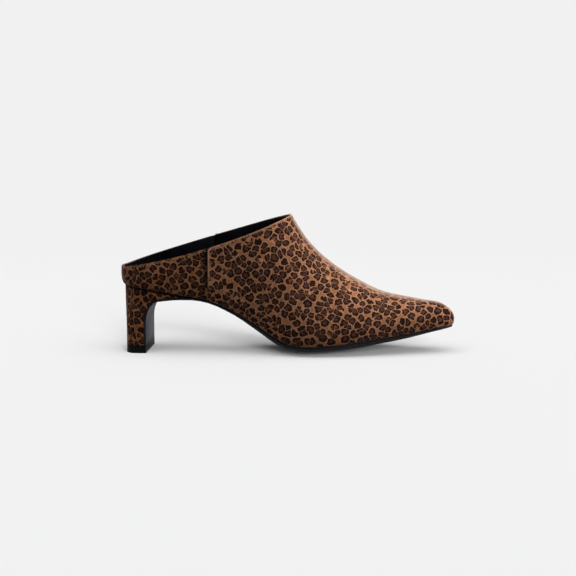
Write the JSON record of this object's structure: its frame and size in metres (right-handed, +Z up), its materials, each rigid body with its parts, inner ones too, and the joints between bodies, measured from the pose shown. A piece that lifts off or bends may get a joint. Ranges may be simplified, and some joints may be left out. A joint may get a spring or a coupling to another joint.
{
  "type": "heeled mule",
  "caption": "Right heeled mule with a pointed toe, a low open back, a slim block heel and leopard print suede.",
  "frame": {"origin": "on the floor, under the middle of the shoe's box", "axes": "+X to the toe, +Z up, -Y the outer side, +Y the inner side"},
  "size_m": [0.2588, 0.078, 0.1058],
  "materials": {
    "leopard_suede": "printed suede, short nap",
    "lining": "black smooth leather lining",
    "sole_leather": "black finished sole leather, satin",
    "heel_rubber": "black hard rubber, matt"
  },
  "bodies": {
    "root": {"upper": "leopard_suede", "insole": "lining", "outsole": "sole_leather", "heel": "leopard_suede", "top_piece": "heel_rubber"}
  },
  "joints": []
}
